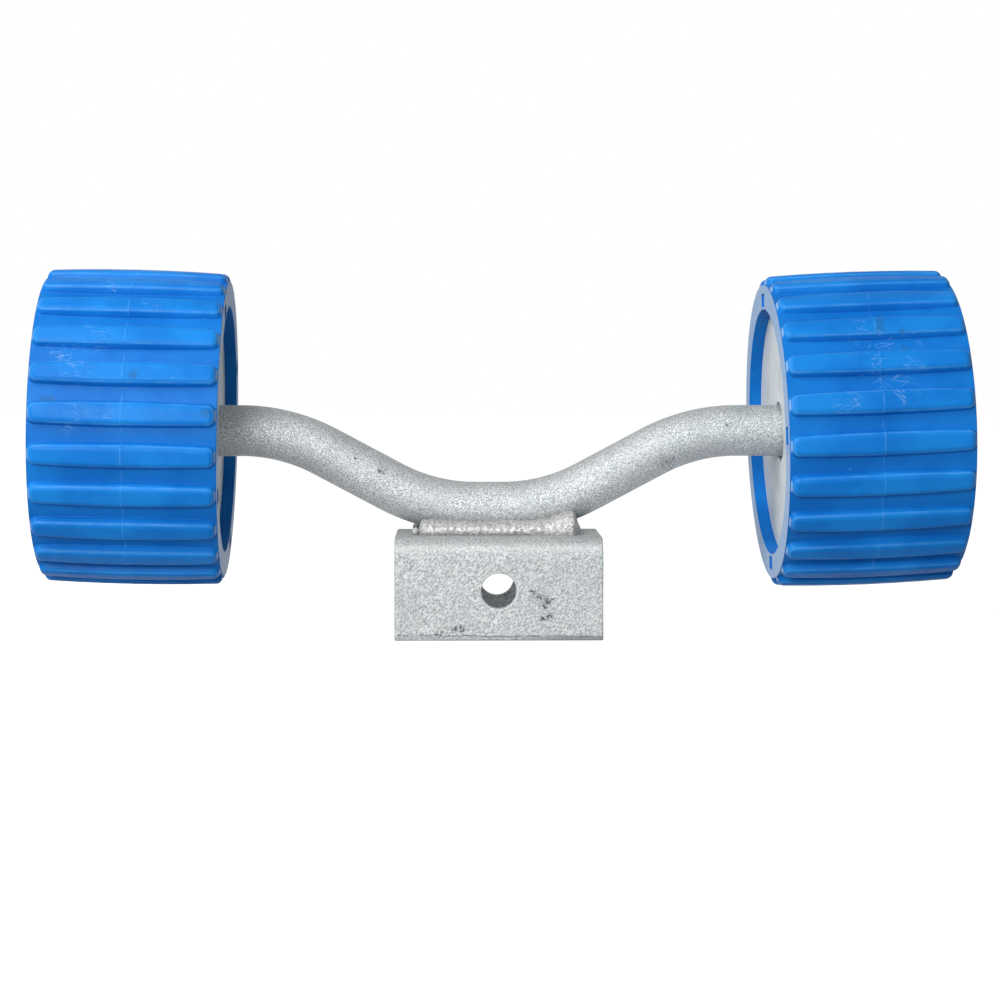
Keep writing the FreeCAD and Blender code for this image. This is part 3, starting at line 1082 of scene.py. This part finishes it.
def galvanised(name, grain):
    material, tree, shader, place = startMaterial(name)
    slanted = addNode(tree, "Mapping", {"vector_type": "TEXTURE"}, Vector=place, Rotation=(0, grain["turn"], 0),
                      Scale=(grain["stretch"], 1, 1))
    wrinkle = addNode(tree, "TexNoise", Vector=slanted, Scale=1 / (grain["sizeMm"] * mm), Detail=3.0,
                      Roughness=0.6, Distortion=0.4)
    fine = addNode(tree, "TexNoise", Vector=place, Scale=1 / (grain["sizeMm"] * 0.5 * mm), Detail=2.0, Roughness=0.6)
    coarsePart = addNode(tree, "Math", times, wrinkle, zinc["wrinkleShare"])
    finePart = addNode(tree, "Math", times, fine, zinc["fineShare"])
    relief = addNode(tree, "Math", plus, coarsePart, finePart)
    # colour follows the relief: the zinc's own tone, with painted highlight on the raised grain and painted shade in
    # its hollows
    start, full = zinc["grainShadeAndTone"]
    grainShadeAndTone = addNode(tree, "MapRange", soft, relief, start, full)
    colour = addNode(tree, "Mix", colours, grainShadeAndTone, i6=paint(grain["low"]), i7=paint(grain["high"]))
    colour = overlaid(tree, colour, grain["dull"], patchy(tree, place, *zinc["bloom"]))
    across = addNode(tree, "SeparateXYZ", Vector=place)
    if "rim" in grain:  # paler round the hole: thicker zinc, with a painted highlight on the hole's edge
        inner, outer = [radius * mm for radius in grain["rim"]]
        size, reach = zinc["rimUnevenMm"]
        flat = addNode(tree, "CombineXYZ", X=across.outputs["X"], Z=across.outputs["Z"])
        radius = addNode(tree, "VectorMath", {"operation": "LENGTH"}, flat)
        noise = addNode(tree, "TexNoise", Vector=place, Scale=1 / (size * mm), Detail=2.0)
        uneven = addNode(tree, "Math", times, noise, reach * mm)
        wandering = addNode(tree, "Math", plus, radius, uneven)
        ring = addNode(tree, "MapRange", soft, wandering, outer, inner)
        colour = overlaid(tree, colour, zinc["rim"], ring)
    if "foldHighlight" in grain:  # painted highlight along the fold
        level, half = grain["foldHighlight"]
        start, full, least, most = zinc["foldGrain"]
        away = addNode(tree, "Math", positive, aboveWavyLine(tree, place, level, *zinc["foldWaveMm"]))
        foldHighlight = addNode(tree, "MapRange", soft, away, half * mm, 0.0)
        grainy = addNode(tree, "MapRange", soft, fine, start, full, least, most)
        colour = overlaid(tree, colour, zinc["foldHighlight"], foldHighlight, grainy)
    if "dripBandAndShade" in grain:  # darker below a wavy line just above the lower edge: zinc that ran down there, and painted shade of the rounded bottom edge that grows towards the right
        level, half = grain["dripBandAndShade"]
        left, right, least, most = zinc["shadeTowardsRight"]
        above = aboveWavyLine(tree, place, level, *zinc["dripWaveMm"])
        band = addNode(tree, "MapRange", soft, above, half * mm, -half * mm)
        stronger = addNode(tree, "MapRange", soft, across.outputs["X"], left * mm, right * mm,
                           least, most)
        colour = overlaid(tree, colour, zinc["dripBandAndShade"], band, stronger)
        away = addNode(tree, "Math", positive, above)
        line = addNode(tree, "MapRange", soft, away, half * mm, half * zinc["dripLineFull"] * mm)
        colour = overlaid(tree, colour, zinc["dripLine"], line, patchy(tree, place, *zinc["dripLinePatch"]))
    if grain["stains"]:
        stain = marks(tree, place, grain["stains"], zinc["stainRaggedMm"])
        colour = overlaid(tree, colour, zinc["stain"], stain)
    pit = marks(tree, place, grain["pits"], zinc["pitRaggedMm"])
    pit = addNode(tree, "Math", times, pit, patchy(tree, place, *zinc["pitPatch"]))
    colour = overlaid(tree, colour, zinc["pit"], pit)
    start, full, least, most = zinc["roughFine"]
    rough = addNode(tree, "MapRange", soft, fine, start, full, grain["rough"] + least,
                    grain["rough"] + most)
    height = addNode(tree, "Math", minus, relief, pit)
    bump = addNode(tree, "Bump", Strength=1.0, Distance=grain["reliefMm"] * mm, Height=height)
    plug(tree, shader, Base_Color=colour, Roughness=rough, Normal=bump, Metallic=grain["metallic"],
         Specular_IOR_Level=zinc["specular"])
    return material


# The marks are places in the photograph: pixel x, pixel y, radius mm. Rim, fold highlight and drip band with its
# painted shade are in mm.
plateGrain = {
    "sizeMm": 0.45, "turn": -0.75, "stretch": 2.0, "low": "#8d9293", "high": "#d4d8d8", "dull": ("#a7abac", 0.3),
    "metallic": 0.45, "rough": 0.42, "reliefMm": 0.5,
    "rim": (6.8, 7.9),  # inner and outer radius
    "foldHighlight": (16.4, 2.4),  # height and half width of the painted highlight along the fold
    "dripBandAndShade": (-17.1, 0.35),  # height and half width
    "stains": [(541, 598, 4.5), (548, 617, 3.5), (546, 606, 3.0)],
    "pits": [
        (533, 592, 1.5), (540, 597, 1.6), (547, 601, 1.7), (545, 606, 1.4), (549, 616, 1.3), (543, 619, 1.3),
        (551, 601, 1.3), (455, 629, 1.7), (463, 631, 1.5), (441, 634, 1.6), (460, 627, 1.3), (437, 634, 1.2),
    ],
}
barGrain = {
    "sizeMm": 0.42, "turn": -0.6, "stretch": 1.6, "low": "#8d9294", "high": "#dbdfe0", "dull": ("#a7abac", 0.3),
    "metallic": 0.55, "rough": 0.4, "reliefMm": 0.4,
    "stains": [(665, 460, 4.0), (384, 470, 3.0), (727, 425, 2.5)],
    "pits": [
        (380, 471, 1.0), (384, 473, 0.9), (397, 475, 1.0), (388, 468, 0.8), (668, 462, 1.0), (662, 466, 0.8),
        (674, 458, 0.9), (727, 425, 0.8), (356, 458, 0.7), (640, 470, 0.7),
    ],
}
weldGrain = {
    "sizeMm": 0.7, "turn": 0.5, "stretch": 1.5, "low": "#949494", "high": "#dad9d8", "dull": ("#a9a8a7", 0.3),
    "metallic": 0.4, "rough": 0.48, "reliefMm": 0.35,
    "stains": [],
    "pits": [(493, 528, 0.8), (574, 527, 1.0), (572, 522, 0.7)],
}


# Zinc-plated steel, rolled and punched: a clean even grey with soft reflections
plating = {
    "low": "#a6abb0",
    "high": "#c3c8cc",
    "cloud": (5.0, 3.0, 0.35, 0.65),
    "sheen": (2.0, 3.0, 0.3, 0.7, 0.26, 0.38),  # worth its roughness
    "metallic": 0.9,
}


def zincPlated():
    material, tree, shader, place = startMaterial("zincPlatedSteel")
    clouds = patchy(tree, place, *plating["cloud"])
    colour = addNode(tree, "Mix", colours, clouds, i6=paint(plating["low"]), i7=paint(plating["high"]))
    plug(tree, shader, Base_Color=colour, Roughness=patchy(tree, place, *plating["sheen"]),
         Metallic=plating["metallic"])
    return material


print("mixing the materials")
blueRubber = mouldedRubber()
whiteNylon = mouldedNylon()
plateZinc = galvanised("galvanisedPlate", plateGrain)
barZinc = galvanised("galvanisedBar", barGrain)
weldZinc = galvanised("galvanisedWeld", weldGrain)
platedZinc = zincPlated()
for material, pieces in (
    (blueRubber, (leftTyre, rightTyre)),
    (whiteNylon, (leftCore, rightCore)),
    (plateZinc, (foldedBracket,)),
    (barZinc, (bentBar,)),
    (weldZinc, (frontWeld, rearWeld)),
    (platedZinc, (flatWashers, splitPins)),
):
    for piece in pieces:
        dress(piece, material)


# Studio: white floor and surround, one lamp at the left beside the camera and a soft one above it
studio = {
    "floorSize": 8000.0,
    "surround": 0.2,  # light from all around
    "mirrored": 0.7,  # how white the surround is in reflections
    "floorGrey": "#b4b4b4",
    "floorWhite": 0.93,  # how much of the floor's white is its own in the camera's view
    "aim": (0, 0, 40),
    "lamps": {  # place, width in mm, power in watts
        "keyLamp": ((-350, -1220, 360), 450, 9.2),
        "topLamp": ((-600, -650, 950), 900, 11.0),
    },
}

deselect()
bpy.ops.mesh.primitive_plane_add(size=studio["floorSize"] * mm, location=(0, 0, cadBox[0].z))
floor = startPiece("studioFloor")
objectMode()
floorPaint = bpy.data.materials.new("floorPaint")
floorPaint.use_nodes = True
floorTree = floorPaint.node_tree
floorTree.nodes.clear()
seen = addNode(floorTree, "LightPath")
matt = addNode(floorTree, "BsdfDiffuse", Color=paint(studio["floorGrey"]))
mirror = addNode(floorTree, "Math", times, seen.outputs["Is Glossy Ray"], studio["mirrored"])
own = addNode(floorTree, "Math", times, seen.outputs["Is Camera Ray"], studio["floorWhite"])
glow = addNode(floorTree, "Emission", Color=(1, 1, 1, 1), Strength=addNode(floorTree, "Math", plus, own, mirror))
addNode(floorTree, "OutputMaterial", Surface=addNode(floorTree, "AddShader", None, matt, glow))
dress(floor, floorPaint)

world = bpy.data.worlds.new("studioSurround")
world.use_nodes = True
bpy.context.scene.world = world
sky = world.node_tree
sky.nodes.clear()
seen = addNode(sky, "LightPath")
unseen = addNode(sky, "MapRange", None, seen.outputs["Is Glossy Ray"], i3=studio["surround"], i4=studio["mirrored"])
level = addNode(sky, "MapRange", None, seen.outputs["Is Camera Ray"], i3=unseen, i4=1.0)
addNode(sky, "OutputWorld", Surface=addNode(sky, "Background", Color=(1, 1, 1, 1), Strength=level))

for name, (place, size, power) in studio["lamps"].items():
    bpy.ops.object.light_add(type="AREA", location=[value * mm for value in place])
    lamp = bpy.context.active_object
    lamp.name = name
    lamp.data.shape = "DISK"
    lamp.data.size = size * mm
    lamp.data.energy = power
    lamp.rotation_euler = (Vector(studio["aim"]) - Vector(place)).to_track_quat("-Z", "Y").to_euler()

bpy.context.scene.view_settings.view_transform = "Standard"
print("done")
